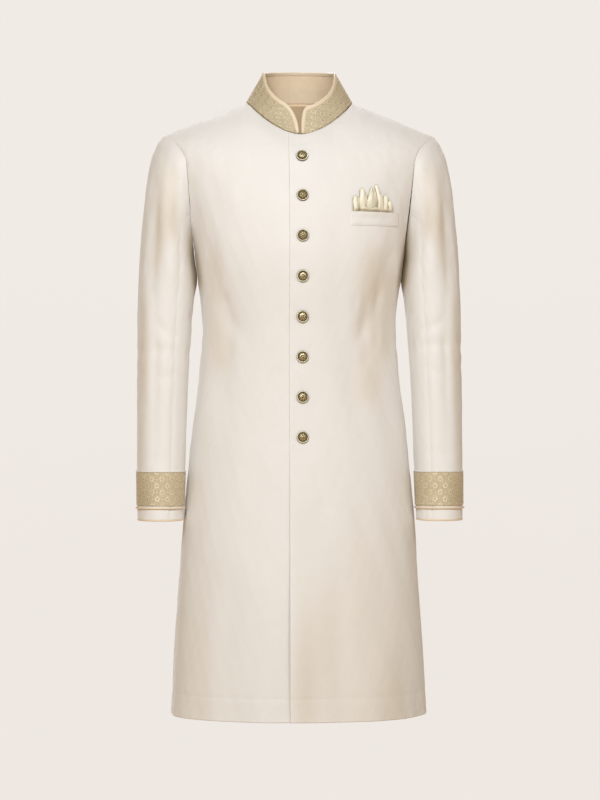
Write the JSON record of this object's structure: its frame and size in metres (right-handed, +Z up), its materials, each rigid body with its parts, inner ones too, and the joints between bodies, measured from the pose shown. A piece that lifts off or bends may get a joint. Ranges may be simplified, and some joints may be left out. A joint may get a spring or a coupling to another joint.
{
  "type": "sherwani coat",
  "caption": "Long ivory coat, hollow as worn, with a brocade stand collar and cuffs, a lapped front with domed buttons and a breast pocket with a folded square.",
  "frame": {"origin": "midway between the two points where the shoulder seams meet the collar, where the wearer's shoulders hold the coat up", "axes": "+Z up, the front faces -Y, the wearer's left is +X"},
  "size_m": [0.5318, 0.3183, 1.0502],
  "materials": {
    "ivory_silk": "plain raw silk, soft sheen",
    "gold_brocade": "woven brocade, muted metallic thread",
    "peach_satin": "smooth satin",
    "pale_gold_silk": "smooth silk with a soft shine",
    "antique_brass": "antique, dark in the hollows, bright on the rim"
  },
  "bodies": {
    "root": {"front_left": "ivory_silk", "front_right": "ivory_silk", "back_left": "ivory_silk", "back_right": "ivory_silk", "sleeve_top_left": "ivory_silk", "sleeve_top_right": "ivory_silk", "sleeve_under_left": "ivory_silk", "sleeve_under_right": "ivory_silk", "pocket_welt": "ivory_silk", "collar": "gold_brocade", "cuff_band_left": "gold_brocade", "cuff_band_right": "gold_brocade", "collar_lining": "peach_satin", "collar_piping": "peach_satin", "neck_facing": "peach_satin", "cuff_cord_left": "peach_satin", "cuff_cord_right": "peach_satin", "cuff_edge_left": "peach_satin", "cuff_edge_right": "peach_satin", "pocket_square": "pale_gold_silk", "button_1": "antique_brass", "button_2": "antique_brass", "button_3": "antique_brass", "button_4": "antique_brass", "button_5": "antique_brass", "button_6": "antique_brass", "button_7": "antique_brass", "button_8": "antique_brass"}
  },
  "joints": []
}
